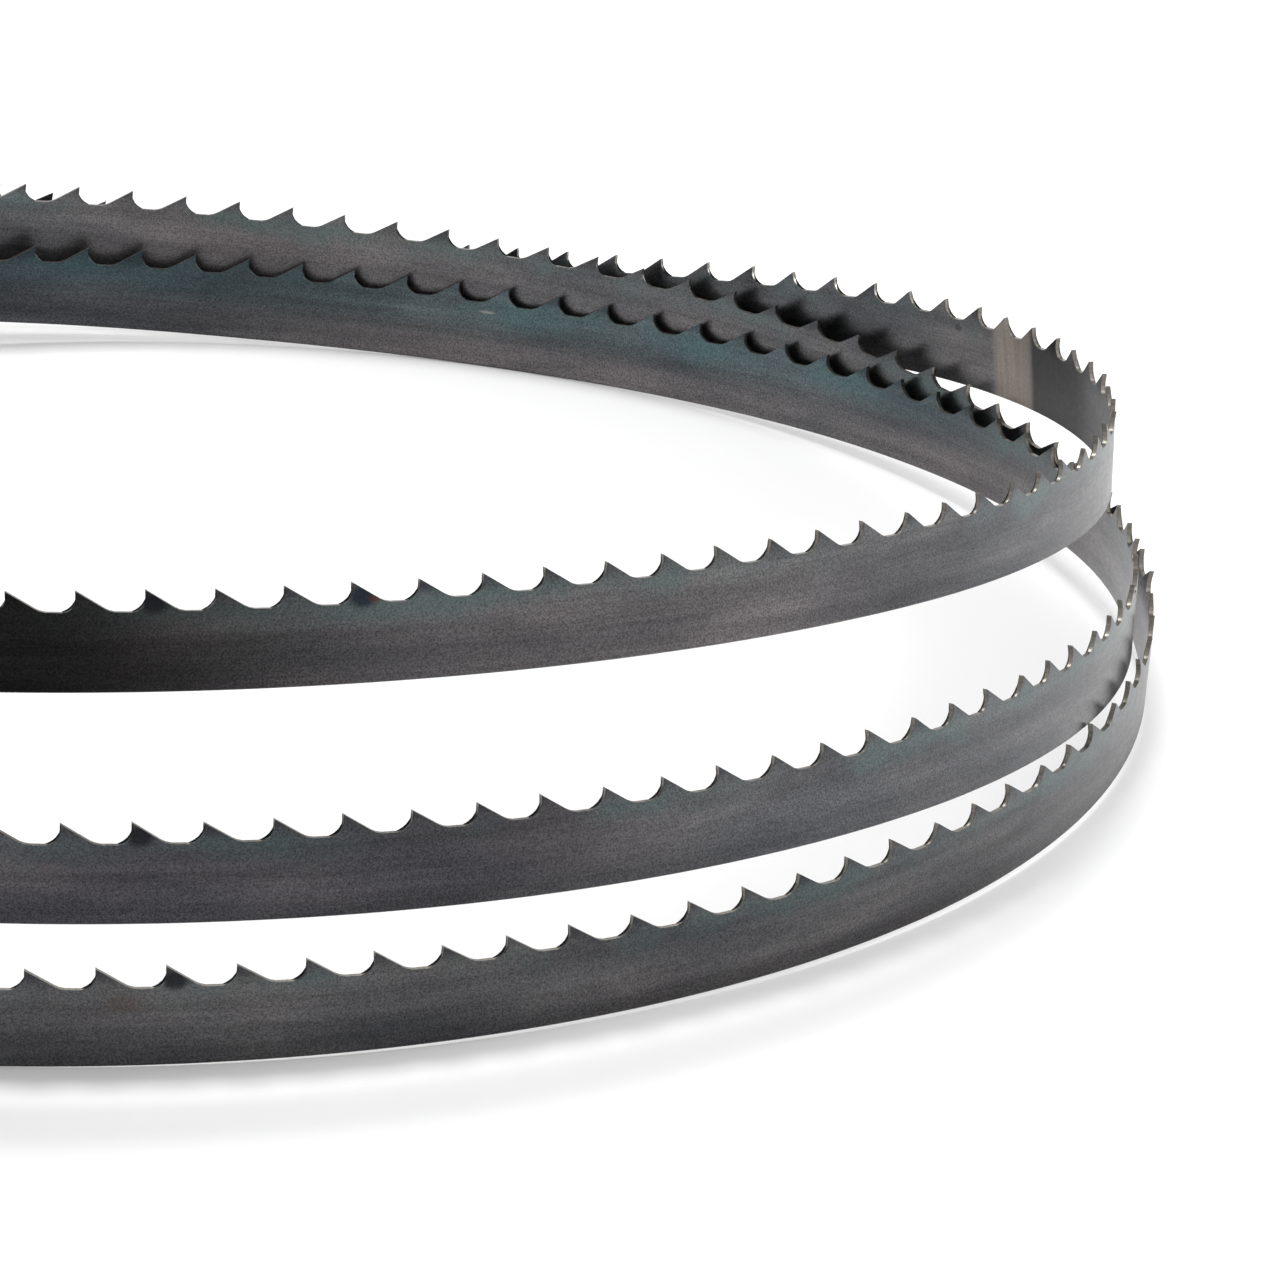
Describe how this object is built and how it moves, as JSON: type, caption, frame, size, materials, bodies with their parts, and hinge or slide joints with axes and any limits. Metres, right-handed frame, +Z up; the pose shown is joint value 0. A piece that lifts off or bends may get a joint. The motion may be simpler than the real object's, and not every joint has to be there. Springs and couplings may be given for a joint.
{
  "type": "band saw blade",
  "caption": "Endless toothed steel band for a band saw, relaxed into a coil that stands on its back edge with the hook teeth upward.",
  "frame": {"origin": "on the floor under the middle of the coil's bounding box", "axes": "+X along the coil's longest side, to the right in the picture; +Y away from the camera, to the rear of the coil; +Z up, along the axis that the band is coiled about"},
  "size_m": [0.3066, 0.297, 0.0507],
  "materials": {
    "blued_steel": "dark gunmetal spring steel, fine lengthwise grain, blue-green heat tint near the teeth"
  },
  "bodies": {
    "root": {"blade": "blued_steel"}
  },
  "joints": []
}
